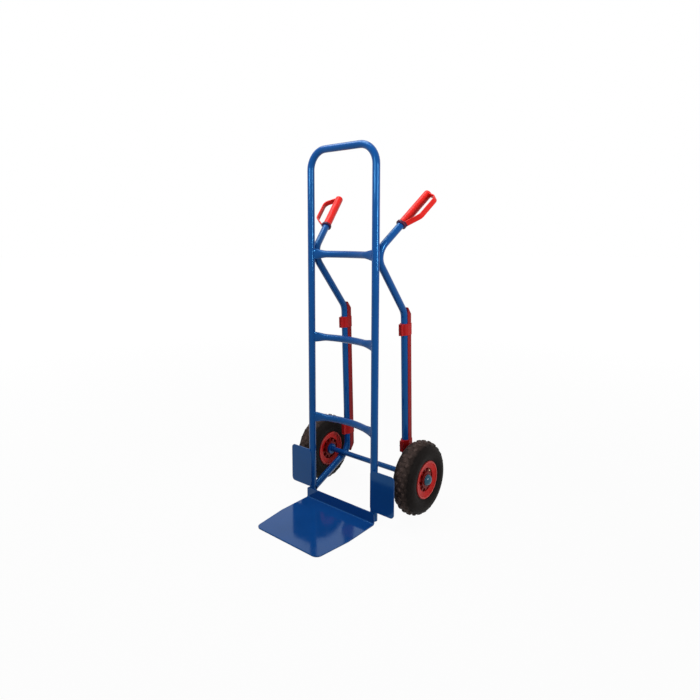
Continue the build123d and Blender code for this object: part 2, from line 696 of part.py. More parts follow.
def skid_clip(z):
    """Sleeve round a side tube and its rail, split between two lugs in front."""
    lugs = Pos(0, -CLIP_LUG_DEPTH / 2) * Rectangle(CLIP_LUG_WIDTH, CLIP_LUG_DEPTH)
    outline = Circle(CLIP_R) + rail_section(SLIP + CLIP_WALL) + lugs
    outline = fillet(outline.vertices().group_by(Axis.Y)[0], CLIP_LUG_R)
    clip = extrude(outline, CLIP_HEIGHT)
    ends = clip.edges().group_by(Axis.Z)
    clip = fillet(ends[0] + ends[-1], CLIP_EDGE_R)
    opening = Circle(TUBE_R + SLIP) + rail_section(SLIP)
    slit = Pos(0, -CLIP_LUG_DEPTH / 2) * Rectangle(CLIP_SLIT, CLIP_LUG_DEPTH)
    clip -= extrude(opening + slit, CLIP_HEIGHT)
    clip -= clip_cross_rod(CLIP_SCREW_D + 2 * SLIP, -CLIP_LUG_WIDTH / 2, CLIP_SCREW_END + SLIP)
    return rail_plane(z - CLIP_HEIGHT / 2) * clip


def clip_screw(z):
    seat = -CLIP_LUG_WIDTH / 2
    head = clip_cross_rod(CLIP_HEAD_D, seat - CLIP_HEAD_T, seat)
    shank = clip_cross_rod(CLIP_SCREW_D, seat, CLIP_SCREW_END)
    return rail_plane(z - CLIP_HEIGHT / 2) * (head + shank)


def group(shapes):
    """One node from several separate solids."""
    return Compound([shape.solid() for shape in shapes])


nodes = {"main_hoop": main_hoop(), "toe_plate": toe_plate(), "axle": axle()}
for k, name in enumerate(BAR_NAMES):
    nodes[f"crossbar_{name}"] = crossbar(BAR_FIRST_Z + k * BAR_PITCH)

# Pieces of the right side, each with a mirrored one on the left
right_pieces = {
    "side_tube": side_tube(),
    "wheel_guard": wheel_guard(),
    "axle_collar": axle_collar(),
    "axle_washer": axle_washer(),
    "hub_cap": hub_cap(),
    "grip": grip(),
    "skid_rail": skid_rail(),
}
for name, piece in right_pieces.items():
    nodes[f"{name}_right"] = piece
    nodes[f"{name}_left"] = mirror(piece, about=Plane.YZ)

# Clips and their screws, alike on both sides
to_left = Pos(-2 * SIDE_X, 0, 0)
for name, z in zip(CLIP_NAMES, CLIP_Z):
    nodes[f"skid_clip_{name}_right"] = skid_clip(z)
    nodes[f"skid_clip_{name}_left"] = to_left * skid_clip(z)
clip_screws = [clip_screw(z) for z in CLIP_Z]
nodes["clip_screws"] = group(clip_screws + [to_left * screw for screw in clip_screws])

# Pieces of a wheel, in the wheel's own frame with X pointing outwards
wheel_pieces = {
    "tyre": tyre(),
    "inner_tube": inner_tube(),
    "valve_cap": valve_cap(),
    "rim_outer": rim_outer(),
    "rim_inner": rim_inner(),
    "rim_bolts": group(rim_bolts()),
    "rim_nuts": group(rim_nuts()),
    "bearing_cage": bearing_cage(),
    "bearing_rollers": group(bearing_rollers()),
}
for name, piece in wheel_pieces.items():
    nodes[f"{name}_right"] = Pos(WHEEL_X, AXLE_Y, AXLE_Z) * piece
    nodes[f"{name}_left"] = Pos(-WHEEL_X, AXLE_Y, AXLE_Z) * Rot(0, 0, 180) * piece

os.makedirs("parts", exist_ok=True)
for name, shape in nodes.items():
    export_step(shape, f"parts/{name}.step")
print(len(nodes), "nodes written")
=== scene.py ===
from math import asin, atan2, cos, exp, hypot, pi, radians, sin, sqrt, tau

import bmesh
import bpy
from mathutils import Matrix, Vector


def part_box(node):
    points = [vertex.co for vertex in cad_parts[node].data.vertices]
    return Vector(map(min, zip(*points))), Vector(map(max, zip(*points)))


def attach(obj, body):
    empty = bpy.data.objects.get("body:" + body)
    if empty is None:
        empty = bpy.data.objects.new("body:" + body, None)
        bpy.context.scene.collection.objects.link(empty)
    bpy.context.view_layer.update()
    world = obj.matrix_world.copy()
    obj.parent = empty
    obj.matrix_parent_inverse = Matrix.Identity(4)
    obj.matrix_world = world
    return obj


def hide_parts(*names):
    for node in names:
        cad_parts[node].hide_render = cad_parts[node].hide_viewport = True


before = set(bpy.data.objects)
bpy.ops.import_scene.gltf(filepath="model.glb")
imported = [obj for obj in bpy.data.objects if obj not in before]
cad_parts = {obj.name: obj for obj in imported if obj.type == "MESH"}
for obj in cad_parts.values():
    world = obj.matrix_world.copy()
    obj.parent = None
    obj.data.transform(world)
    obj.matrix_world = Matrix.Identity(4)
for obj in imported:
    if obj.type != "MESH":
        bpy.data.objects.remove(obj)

bl_info = {
    "name": "Hand Truck Looks",
    "version": (1, 0, 0),
    "blender": (4, 5, 0),
    "location": "View3D > Sidebar > Hand Truck",
    "description": "Finishes and fine pieces for a tubular hand truck with air-filled tyres",
    "category": "Object",
}

SIDES = (("right", 1), ("left", -1))
MM = 0.001


# Places taken from the packed model

def middle(node):
    low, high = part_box(node)
    return (low + high) / 2


def span(node):
    low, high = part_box(node)
    return high - low


AXLE = middle("axle")
AXLE_R = span("axle").z / 2
TUBE_R = span("main_hoop").y / 2
LEG_X = span("main_hoop").x / 2 - TUBE_R
WHEEL_X = middle("tyre_right").x
TYRE_R = AXLE.z
TYRE_W = span("tyre_right").x
SIDE_TUBE_X = LEG_X - 5 * MM

# Sizes of the CAD pieces that the fine pieces and the finishes fit
SHOULDER_X = 32 * MM
SHOULDER_DROP = 12 * MM
TYRE_BEAD = (32.2 * MM, 68 * MM)  # x and radius
TYRE_INSIDE = ((28.2, 50.3), (19.2, 50.3), (23.2, 68), (35, 92.5), (26, 111), (0, 122))  # x and radius, mm
RIM_OUTER_WEB = 14 * MM
RIM_INNER_WEB = 6 * MM
RIM_BOLT_R = 36 * MM
RIM_BOLT_COUNT = 5
RIM_BOLT_START = radians(76)
VALVE_ANGLE, VALVE_TILT = radians(40), radians(37)
VALVE_BARREL_R = 50 * MM
VALVE_SEAT_X = 13 * MM
VALVE_CAP_FOOT = 11 * MM  # along the stem, from the barrel
STAY_SLOPE = radians(23.5)
STAY_ALONG = Vector((0, -cos(STAY_SLOPE), -sin(STAY_SLOPE)))
STAY_NORMAL = Vector((0, -sin(STAY_SLOPE), cos(STAY_SLOPE)))
HANDLE_RISE, HANDLE_SPLAY = radians(42.2), radians(16.2)
HANDLE_UP = Vector((
    cos(HANDLE_RISE) * sin(HANDLE_SPLAY), cos(HANDLE_RISE) * cos(HANDLE_SPLAY), sin(HANDLE_RISE)))
HANDLE_TOUCH_X, HANDLE_TOUCH_Z = 142.8 * MM, 925.5 * MM  # where its bend lies against the leg
HANDLE_BEND_R = 44 * MM
SCREW_SEAT = 4 * MM  # from the outer end of a packed screw's head

# Radii, or heights above the grip's foot, between which one colour fades into the next; the rim and grip
# edges bound painted shade and a painted highlight
RIM_RECESS_SHADE_EDGE = (41 * MM, 44 * MM)
RIM_LIP_HIGHLIGHT_EDGE = (60.5 * MM, 62 * MM)
RIM_OUTER_SHADE_EDGE = (64.6 * MM, 65.6 * MM)
TREAD_EDGE = (TYRE_R - 12 * MM, TYRE_R - 1 * MM)
GRIP_COLLAR_SHADE_EDGE = (8.8 * MM, 9.4 * MM)

# Fine shapes
SIDE_RINGS = (  # radius, height and width of the mould rings, mm
    (109, 0.7, 0.9), (105.5, 0.5, 0.7), (87, 0.3, 0.8), (77, 0.7, 1.1), (73, 0.8, 1.2),
)
TREAD_ROWS = (-2, -1, 0, 1, 2)
OUTER_ROW_SHARE = 0.5  # of the other rows' height
BLOCK_TOP_SHARE, BLOCK_FOOT_SHARE = 0.84, 1.12  # of a block's length and width
BLOCK_TRIM = 0.9 * MM  # off a block's height
BLOCK_ROOT = 2.5 * MM  # of a block inside the casing
BLOCK_BEVEL = 1.5 * MM
BOLT_STEPS = 24
PATH_STEPS = 40

# Camera and lamps
CAMERA_PLACE = (1.2134, -1.4353, 0.9815)
CAMERA_AZIMUTH, CAMERA_ELEVATION = radians(40.233), radians(6.651)
CAMERA_LENS = 27.86
CAMERA_SHIFT = (0.0118, -0.069)
LAMPS = (  # name, place, aim, size and beam in degrees
    ("key", (2.4, -0.15, 1.2), (0, 0, 1.15), (0.6, 0.9), 75),
    ("fill", (0.0, -2.3, 1.6), (0, 0, 1.4), (0.6, 0.6), 60),
    ("top", (-0.5, -0.35, 2.6), (0, 0, 0.4), (1.4, 1.4), 180),
)


def wheel_place(sign):
    """Matrix from a wheel's own frame, with its axis on X pointing outwards, to its place on the truck."""
    turn = Matrix.Identity(4) if sign > 0 else Matrix.Rotation(pi, 4, "Z")
    return Matrix.Translation((sign * WHEEL_X, AXLE.y, AXLE.z)) @ turn


# Sizes and colours that a user would change

def colour_of(name, description, default):
    return bpy.props.FloatVectorProperty(
        name=name, description=description, default=default, subtype="COLOR", size=3, min=0, max=1)


def length_of(name, description, default):
    return bpy.props.FloatProperty(
        name=name, description=description, default=default, subtype="DISTANCE", unit="LENGTH")


def power_of(name, description, default):
    return bpy.props.FloatProperty(
        name=name, description=description, default=default, subtype="POWER", unit="POWER")


class HandTruckColours(bpy.types.PropertyGroup):
    """Colours of the truck's finishes"""

    paint: colour_of("Frame Paint", "Gloss paint of the tubes, toe plate and guards", (0.004, 0.059, 0.25))
    grip: colour_of("Grips", "Moulded plastic of the hand grips", (0.7, 0.012, 0.008))
    # Painted shade: a darker colour at the foot of each grip, standing for the shaded underside of its flange
    collar_shade: colour_of("Grip Collars", "Darker ring at the foot of each hand grip", (0.07, 0.008, 0.035))
    rail: colour_of("Skid Rails", "Plastic of the stair skid rails", (0.3, 0.01, 0.013))
    clip: colour_of("Rail Clips", "Plastic of the collars that hold the rails", (0.42, 0.011, 0.012))
    rim: colour_of("Rims", "Plastic of the wheel rims", (0.62, 0.012, 0.009))
    # Painted highlight: the pale colour laid on the rims' lips stands for light caught by their rounded edges
    lip_highlight: colour_of("Rim Lip Highlight", "Paler plastic where the rims' lips are scuffed", (0.9, 0.2, 0.18))
    cap: colour_of("Hub Caps", "Gloss finish of the domed caps on the axle's ends", (0.004, 0.1, 0.17))
    rubber: colour_of("Tyre Rubber", "Rubber of the tyres' sides", (0.0085, 0.0066, 0.006))
    dust: colour_of("Tread Dust", "Brownish bloom on the tread blocks", (0.12, 0.082, 0.071))
    steel: colour_of("Plated Steel", "Zinc plating of bolts, nuts, screws and washers", (0.56, 0.57, 0.58))
    brass: colour_of("Valve Caps", "Metal of the caps on the tyre valves", (0.62, 0.45, 0.24))
    cage: colour_of("Bearing Cages", "Plastic of the cages in the hubs", (0.5, 0.45, 0.35))


class HandTruckTread(bpy.types.PropertyGroup):
    """Sizes of the tyre tread"""

    blocks: bpy.props.IntProperty(
        name="Blocks per Row", description="Tread blocks round the tyre in each row",
        default=24, min=8, max=60)
    length: length_of("Block Length", "Along the tyre's turn", 0.0145)
    width: length_of("Block Width", "Across the tyre", 0.0115)
    height: length_of("Block Height", "Above the casing", 0.004)
    pitch: length_of("Row Pitch", "Between rows, along the crown", 0.013)
    skew: bpy.props.FloatProperty(
        name="Block Skew", description="Turn of each block, the other way on every second row",
        default=radians(25), subtype="ANGLE", unit="ROTATION")


class HandTruckWelds(bpy.types.PropertyGroup):
    """Sizes of the weld beads"""

    radius: length_of("Bead Radius", "Half the width of a weld bead", 0.0024)
    ripple: length_of("Ripple Pitch", "Between the ripples of a weld bead", 0.0021)


class HandTruckStage(bpy.types.PropertyGroup):
    """Light and floor"""

    floor: colour_of("Floor", "Colour of the pale floor", (0.4, 0.4, 0.4))
    key: power_of("Key Light", "Soft light from the right", 7.4)
    fill: power_of("Fill Light", "Soft light from the front", 3.3)
    top: power_of("Top Light", "Soft light from above", 33.0)
    room: bpy.props.FloatProperty(
        name="Room Light", description="Even light from all round",
        default=0.28, subtype="FACTOR", min=0, max=1)


# Materials

def feed(tree, socket, value):
    """Link another node's output to a socket, or set the socket's own value."""
    if isinstance(value, bpy.types.NodeSocket):
        tree.links.new(value, socket)
    else:
        socket.default_value = value


def feed_all(tree, node, values):
    for name, value in values.items():
        feed(tree, node.inputs[name], value)


def add_node(tree, kind, values=None, **settings):
    """New node with its settings, and with values or links in its named sockets."""
    node = tree.nodes.new(kind)
    for name, value in settings.items():
        setattr(node, name, value)
    feed_all(tree, node, values or {})
    return node


def maths(tree, operation, first, second=None):
    """Output of a maths node, each input a value or an output."""
    node = add_node(tree, "ShaderNodeMath", operation=operation)
    for socket, value in zip(node.inputs, (first, second)):
        if value is not None:
            feed(tree, socket, value)
    return node.outputs["Value"]


def length_from_origin(tree, vector):
    return add_node(tree, "ShaderNodeVectorMath", {"Vector": vector}, operation="LENGTH").outputs["Value"]


def scaled(colour, factor=1.0):
    """A colour times a factor, with its alpha."""
    return tuple(min(1.0, c * factor) for c in colour) + (1.0,)


def new_finish(name):
    """Empty material with its shader and the piece's own coordinates."""
    material = bpy.data.materials.new(name)
    material.use_nodes = True
    tree = material.node_tree
    shader = tree.nodes["Principled BSDF"]
    place = add_node(tree, "ShaderNodeTexCoord").outputs["Object"]
    return material, tree, shader, place


def noise(tree, place, scale, detail=3.0, roughness=0.5):
    return add_node(tree, "ShaderNodeTexNoise", {
        "Vector": place, "Scale": scale, "Detail": detail, "Roughness": roughness}).outputs["Fac"]


def spread(tree, factor, low, high, start=0.3, end=0.7):
    """A factor stretched to a range of values."""
    return add_node(tree, "ShaderNodeMapRange", {
        "Value": factor, "From Min": start, "From Max": end, "To Min": low, "To Max": high}).outputs["Result"]


def mixed(tree, factor, first, second):
    """Colour between two others, each a value or an output."""
    node = add_node(tree, "ShaderNodeMix", {"Factor": factor}, data_type="RGBA")
    for name, colour in (("A", first), ("B", second)):
        feed(tree, next(s for s in node.inputs if s.name == name and s.type == "RGBA"), colour)
    return next(s for s in node.outputs if s.type == "RGBA")


def bumps(tree, shader, layers):
    """Fine relief from several heights, each with its depth in metres."""
    normal = None
    for height, depth in layers:
        node = add_node(tree, "ShaderNodeBump", {"Strength": 1.0, "Distance": depth, "Height": height})
        if normal:
            tree.links.new(normal, node.inputs["Normal"])
        normal = node.outputs["Normal"]
    tree.links.new(normal, shader.inputs["Normal"])


def stretched(tree, place, scale, location=(0, 0, 0)):
    return add_node(tree, "ShaderNodeMapping", {
        "Vector": place, "Scale": scale, "Location": location}).outputs["Vector"]


def gloss_paint(name, colour):
    """Sprayed gloss paint with a faint orange peel, soft clouds and rubbed patches."""
    material, tree, shader, place = new_finish(name)
    clouds = noise(tree, place, 6.0, 4.0)
    base = mixed(tree, spread(tree, clouds, 0, 1), scaled(colour, 0.9), scaled(colour, 1.1))
    specks = spread(tree, noise(tree, place, 420.0, 2.0), 0, 0.12, 0.68, 0.76)
    rubbed = noise(tree, stretched(tree, place, (40.0, 40.0, 9.0)), 1.0, 5.0, 0.6)
    feed_all(tree, shader, {
        "Base Color": mixed(tree, specks, base, scaled(colour, 1.5)),
        "Roughness": spread(tree, rubbed, 0.07, 0.13),
        "Specular IOR Level": 0.5,
        "Specular Tint": (0.14, 0.55, 1.0, 1.0),
    })
    peel = noise(tree, place, 330.0, 1.5)
    waves = noise(tree, place, 45.0, 2.0)
    bumps(tree, shader, ((peel, 0.000002), (waves, 0.00003)))
    return material


def moulded_plastic(name, colour, roughness, grain=0.000003, flow=(1.0, 1.0, 1.0), specular=0.2):
    """Moulded plastic with a fine grain, flow marks and a slightly uneven colour."""
    material, tree, shader, place = new_finish(name)
    marks = noise(tree, stretched(tree, place, flow), 30.0, 4.0, 0.55)
    handled = noise(tree, place, 55.0, 5.0, 0.6)
    feed_all(tree, shader, {
        "Base Color": mixed(tree, spread(tree, marks, 0, 1), scaled(colour, 0.88), scaled(colour, 1.1)),
        "Roughness": spread(tree, handled, roughness - 0.07, roughness + 0.08),
        "Specular IOR Level": specular,
    })
    bumps(tree, shader, ((noise(tree, place, 1600.0, 2.0), grain), (marks, 2 * grain)))
    return material


def coloured(material):
    """Tree, shader, base colour and coordinates of a finish that gets a further colour."""
    tree = material.node_tree
    shader = tree.nodes["Principled BSDF"]
    base = shader.inputs["Base Color"].links[0].from_socket
    return tree, shader, base, add_node(tree, "ShaderNodeTexCoord").outputs["Object"]


def grip_plastic(name, colour, collar_shade):
    """Grip plastic, with painted shade: a darker ring at the foot of each handle stands for the shaded
    underside of the grip's flange.
    """
    material = moulded_plastic(name, colour, 0.3)
    tree, shader, base, place = coloured(material)
    alike = add_node(tree, "ShaderNodeVectorMath", {"Vector": place}, operation="ABSOLUTE")
    along = add_node(tree, "ShaderNodeVectorMath", {
        "Vector": alike.outputs["Vector"]}, operation="DOT_PRODUCT")
    along.inputs[1].default_value = HANDLE_UP
    foot = min(vert.co.dot(HANDLE_UP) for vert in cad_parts["grip_right"].data.vertices)
    # Painted shade: the ring at the grip's foot is mixed towards the darker colour
    collar_shade_mask = spread(tree, along.outputs["Value"], 1, 0, *(foot + edge for edge in GRIP_COLLAR_SHADE_EDGE))
    tree.links.new(mixed(tree, collar_shade_mask, base, scaled(collar_shade)), shader.inputs["Base Color"])
    return material


def plated_steel(name, colour, roughness=0.34):
    """Zinc-plated steel with fine turning marks."""
    material, tree, shader, place = new_finish(name)
    bloom = noise(tree, place, 130.0, 4.0, 0.6)
    feed_all(tree, shader, {
        "Base Color": mixed(tree, spread(tree, bloom, 0, 1), scaled(colour, 0.78), scaled(colour, 1.06)),
        "Roughness": spread(tree, bloom, roughness - 0.08, roughness + 0.1),
        "Metallic": 1.0,
    })
    lines = noise(tree, stretched(tree, place, (3000.0, 260.0, 260.0)), 1.0, 2.0)
    bumps(tree, shader, ((lines, 0.00003),))
    return material


def wheel_reach(tree, place):
    """Distance from the wheels' axis."""
    return length_from_origin(tree, stretched(tree, place, (0, 1, 1), (0, -AXLE.y, -AXLE.z)))


def rim_plastic(name, colour, lip_highlight):
    """Rim plastic, with painted shade in the recess round the hub and beyond the lip, and a painted highlight
    that makes the lip paler.
    """
    material = moulded_plastic(name, colour, 0.36, specular=0.12)
    tree, shader, base, place = coloured(material)
    reach = wheel_reach(tree, place)
    # Painted shade: within the recess round the hub the colour darkens to 0.3 of itself
    recess_shaded = mixed(tree, spread(tree, reach, 1, 0, *RIM_RECESS_SHADE_EDGE), base, scaled(colour, 0.3))
    # Painted highlight: from the lip's inner edge outwards the colour is mixed partly towards the pale colour
    lip = maths(tree, "MULTIPLY", spread(tree, reach, 0, 1, *RIM_LIP_HIGHLIGHT_EDGE), 0.45)
    lip_highlighted = mixed(tree, lip, recess_shaded, scaled(lip_highlight))
    # Painted shade: beyond the lip's outer edge the colour darkens to 0.4 of itself
    outer_shade = spread(tree, reach, 0, 1, *RIM_OUTER_SHADE_EDGE)
    tree.links.new(mixed(tree, outer_shade, lip_highlighted, scaled(colour, 0.4)), shader.inputs["Base Color"])
    return material


def tyre_rubber(name, rubber, dust):
    """Black rubber, browner and duller on the tread, with fine mould grain on the sides."""
    material, tree, shader, place = new_finish(name)
    reach = wheel_reach(tree, place)
    tread = spread(tree, reach, 0, 1, *TREAD_EDGE)
    clouds = spread(tree, noise(tree, place, 60.0, 5.0, 0.6), 0.25, 1.0)
    dusty = maths(tree, "MULTIPLY", tread, clouds)
    patches = spread(tree, noise(tree, place, 22.0, 4.0), 0, 1)
    side = mixed(tree, patches, scaled(rubber, 0.8), scaled(rubber, 1.25))
    worn = noise(tree, place, 150.0, 4.0, 0.6)
    feed_all(tree, shader, {
        "Base Color": mixed(tree, dusty, side, scaled(dust)),
        "Roughness": spread(tree, worn, 0.5, 0.7),
        "Specular IOR Level": 0.06,
    })
    grain = noise(tree, place, 900.0, 3.0)
    lumps = noise(tree, place, 90.0, 3.0)
    bumps(tree, shader, ((grain, 0.00003), (lumps, 0.00012)))
    return material


def finish_of(key):
    """Material of a finish, made on first use from the panel's colours."""
    name = f"hand_truck_{key}"
    if name in bpy.data.materials:
        return bpy.data.materials[name]
    colours = bpy.context.scene.hand_truck_colours
    makers = {
        "paint": lambda: gloss_paint(name, colours.paint),
        "grip": lambda: grip_plastic(name, colours.grip, colours.collar_shade),
        "rail": lambda: moulded_plastic(name, colours.rail, 0.42, flow=(1.0, 1.0, 0.05), specular=0.1),
        "clip": lambda: moulded_plastic(name, colours.clip, 0.38, specular=0.12),
        "rim": lambda: rim_plastic(name, colours.rim, colours.lip_highlight),
        "cap": lambda: moulded_plastic(name, colours.cap, 0.12, specular=0.35),
        "steel": lambda: plated_steel(name, colours.steel),
        "brass": lambda: plated_steel(name, colours.brass, 0.3),
        "rubber": lambda: tyre_rubber(name, colours.rubber, colours.dust),
        "tube": lambda: moulded_plastic(name, colours.rubber, 0.5, grain=0.00003),
        "cage": lambda: moulded_plastic(name, colours.cage, 0.45),
    }
    return makers[key]()


def dress(key, *nodes):
    """Give CAD nodes a finish."""
    for name in nodes:
        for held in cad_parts[name].material_slots:
            held.material = finish_of(key)


def both_sides(*names):
    return [f"{name}_{word}" for name in names for word, _ in SIDES]


# Meshes and node trees

def new_piece(name, mesh, body, slot, *nodes):
    """Object at the origin that rides on a body and stands for CAD nodes."""
    mesh.name = name
    piece = bpy.data.objects.new(name, mesh)
    bpy.context.scene.collection.objects.link(piece)
    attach(piece, body)
    if nodes:
        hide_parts(*nodes)


def mesh_of(shape, name, key=None):
    """Mesh from a bmesh, with clean normals and an optional finish."""
    bmesh.ops.remove_doubles(shape, verts=shape.verts, dist=1e-7)
    bmesh.ops.recalc_face_normals(shape, faces=shape.faces)
    mesh = bpy.data.meshes.new(name)
    shape.to_mesh(mesh)
    shape.free()
    if key:
        mesh.materials.append(finish_of(key))
    return mesh


def shade_by_angle(mesh, degrees):
    """Smooth faces, with sharp edges where two faces meet at more than an angle."""
    shape = bmesh.new()
    shape.from_mesh(mesh)
    for face in shape.faces:
        face.smooth = True
    limit = radians(degrees)
    for edge in shape.edges:
        edge.smooth = len(edge.link_faces) == 2 and edge.calc_face_angle(0) < limit
    shape.to_mesh(mesh)
    shape.free()


def ring(x, r, steps):
    """Points round the X axis, or the one point on it."""
    if r < 1e-9:
        return [(x, 0, 0)]
    return [(x, r * cos(tau * k / steps), r * sin(tau * k / steps)) for k in range(steps)]


def skin(shape, rings, steps):
    """Faces from each ring of vertices to the next, and from the last to the first."""
    for first, second in zip(rings, rings[1:] + rings[:1]):
        for k in range(steps):
            corners = [first[k % len(first)], first[(k + 1) % len(first)]]
            corners += [second[(k + 1) % len(second)], second[k % len(second)]]
            corners = list(dict.fromkeys(corners))
            if len(corners) > 2:
                shape.faces.new(corners)


def lathe(profile, steps):
    """Closed ring or solid from (x, r) points, turned about X."""
    shape = bmesh.new()
    skin(shape, [[shape.verts.new(point) for point in ring(x, r, steps)] for x, r in profile], steps)
    return shape


def new_tree(name, inputs):
    """Geometry tree with named inputs, the outputs that give them and its last node."""
    tree = bpy.data.node_groups.new(name, "GeometryNodeTree")
    for label, kind in inputs.items():
        tree.interface.new_socket(label, in_out="INPUT", socket_type=f"NodeSocket{kind}")
    tree.interface.new_socket("Geometry", in_out="OUTPUT", socket_type="NodeSocketGeometry")
    return tree, tree.nodes.new("NodeGroupInput").outputs, tree.nodes.new("NodeGroupOutput")


def combined(tree, **parts):
    return add_node(tree, "ShaderNodeCombineXYZ", parts).outputs["Vector"]


def finish_tree(tree, geometry, material, target):
    """Realize the instances, set the finish and end the tree."""
    real = add_node(tree, "GeometryNodeRealizeInstances", {"Geometry": geometry})
    paint = add_node(tree, "GeometryNodeSetMaterial", {
        "Geometry": real.outputs["Geometry"], "Material": material})
    tree.links.new(paint.outputs["Geometry"], target.inputs["Geometry"])


def grown(tree, mesh, values):
    """Plain mesh that a tree makes from another mesh."""
    holder = bpy.data.objects.new("holder", mesh)
    bpy.context.scene.collection.objects.link(holder)
    modifier = holder.modifiers.new("Grow", "NODES")
    modifier.node_group = tree
    for item in tree.interface.items_tree:
        if item.item_type == "SOCKET" and item.in_out == "INPUT" and item.name in values:
            modifier[item.identifier] = values[item.name]
    graph = bpy.context.evaluated_depsgraph_get()
    result = bpy.data.meshes.new_from_object(holder.evaluated_get(graph), depsgraph=graph)
    holder.modifiers.remove(modifier)
    bpy.data.objects.remove(holder)
    if not result.polygons:
        raise RuntimeError(f"the tree {tree.name} made nothing")
    return result


def scratch_object(name, mesh):
    """Object that a tree or a cut takes its mesh from, removed after use."""
    source = bpy.data.objects.new(name, mesh)
    bpy.context.scene.collection.objects.link(source)
    return source


def ring_of_copies_tree():
    """Copies of an object round the X axis, facing along it."""
    tree, given, target = new_tree("Ring of Copies", {
        "Geometry": "Geometry", "Copy": "Object", "Count": "Int", "Radius": "Float", "Start": "Float",
        "Finish": "Material"})
    circle = add_node(tree, "GeometryNodeMeshCircle", {
        "Vertices": given["Count"], "Radius": given["Radius"]})
    stand = add_node(tree, "GeometryNodeTransform", {
        "Geometry": circle.outputs["Mesh"], "Rotation": (pi / 2, 0, pi / 2)})
    index = add_node(tree, "GeometryNodeInputIndex").outputs["Index"]
    angle = maths(tree, "DIVIDE", maths(tree, "MULTIPLY", index, tau), given["Count"])
    shape = add_node(tree, "GeometryNodeObjectInfo", {"Object": given["Copy"]})
    copies = add_node(tree, "GeometryNodeInstanceOnPoints", {
        "Points": stand.outputs["Geometry"], "Instance": shape.outputs["Geometry"],
        "Rotation": combined(tree, X=angle)})
    spin = add_node(tree, "GeometryNodeTransform", {
        "Geometry": copies.outputs["Instances"], "Rotation": combined(tree, X=given["Start"])})
    finish_tree(tree, spin.outputs["Geometry"], given["Finish"], target)
    return tree


def copies_tree():
    """Copies of an object on the points of a mesh."""
    tree, given, target = new_tree("Copies on Points", {
        "Geometry": "Geometry", "Copy": "Object", "Finish": "Material"})
    shape = add_node(tree, "GeometryNodeObjectInfo", {"Object": given["Copy"]})
    copies = add_node(tree, "GeometryNodeInstanceOnPoints", {
        "Points": given["Geometry"], "Instance": shape.outputs["Geometry"]})
    finish_tree(tree, copies.outputs["Instances"], given["Finish"], target)
    return tree


def bead_tree():
    """Rippled weld bead along every path of a mesh of edges."""
    tree, given, target = new_tree("Weld Bead", {
        "Geometry": "Geometry", "Radius": "Float", "Ripple": "Float", "Finish": "Material"})
    path = add_node(tree, "GeometryNodeMeshToCurve", {"Mesh": given["Geometry"]})
    evened = add_node(tree, "GeometryNodeResampleCurve", {
        "Curve": path.outputs["Curve"], "Length": given["Ripple"]}, mode="LENGTH")
    drop = add_node(tree, "GeometryNodeMeshIcoSphere", {"Subdivisions": 2, "Radius": given["Radius"]})
    smooth = add_node(tree, "GeometryNodeSetShadeSmooth", {"Geometry": drop.outputs["Mesh"]})
    vary = add_node(tree, "FunctionNodeRandomValue", {"Seed": 7}, data_type="FLOAT")
    for name, value in (("Min", 0.86), ("Max", 1.12)):
        feed(tree, next(s for s in vary.inputs if s.name == name and s.type == "VALUE" and s.enabled), value)
    amount = next(s for s in vary.outputs if s.type == "VALUE" and s.enabled)
    copies = add_node(tree, "GeometryNodeInstanceOnPoints", {
        "Points": evened.outputs["Curve"], "Instance": smooth.outputs["Geometry"], "Scale": amount})
    finish_tree(tree, copies.outputs["Instances"], given["Finish"], target)
    return tree


def tread_row_tree():
    """One row of blocks round the Z axis, standing on the crown's arc."""
    tree, given, target = new_tree("Tread Row", {
        "Block": "Object", "Blocks": "Int", "Row": "Float", "Pitch": "Float", "Crown Arc": "Float",
        "Casing Radius": "Float", "Skew": "Float", "Half Step": "Float", "Height Share": "Float"})
    arc = given["Crown Arc"]
    tilt = maths(tree, "DIVIDE", maths(tree, "MULTIPLY", given["Row"], given["Pitch"]), arc)
    across = maths(tree, "MULTIPLY", arc, maths(tree, "SINE", tilt))
    drop = maths(tree, "SUBTRACT", arc, maths(tree, "MULTIPLY", arc, maths(tree, "COSINE", tilt)))
    circle = add_node(tree, "GeometryNodeMeshCircle", {
        "Vertices": given["Blocks"], "Radius": maths(tree, "SUBTRACT", given["Casing Radius"], drop)})
    step = maths(tree, "DIVIDE", maths(tree, "MULTIPLY", given["Half Step"], pi), given["Blocks"])
    stand = add_node(tree, "GeometryNodeTransform", {
        "Geometry": circle.outputs["Mesh"], "Translation": combined(tree, Z=across),
        "Rotation": combined(tree, Z=step)})
    position = add_node(tree, "GeometryNodeInputPosition").outputs["Position"]
    at = add_node(tree, "ShaderNodeSeparateXYZ", {"Vector": position})
    turn = combined(
        tree, X=given["Skew"], Y=maths(tree, "MULTIPLY", tilt, -1.0),
        Z=maths(tree, "ARCTAN2", at.outputs["Y"], at.outputs["X"]))
    shape = add_node(tree, "GeometryNodeObjectInfo", {"Object": given["Block"]})
    copies = add_node(tree, "GeometryNodeInstanceOnPoints", {
        "Points": stand.outputs["Geometry"], "Instance": shape.outputs["Geometry"], "Rotation": turn,
        "Scale": combined(tree, X=given["Height Share"], Y=1.0, Z=1.0)})
    tree.links.new(copies.outputs["Instances"], target.inputs["Geometry"])
    return tree


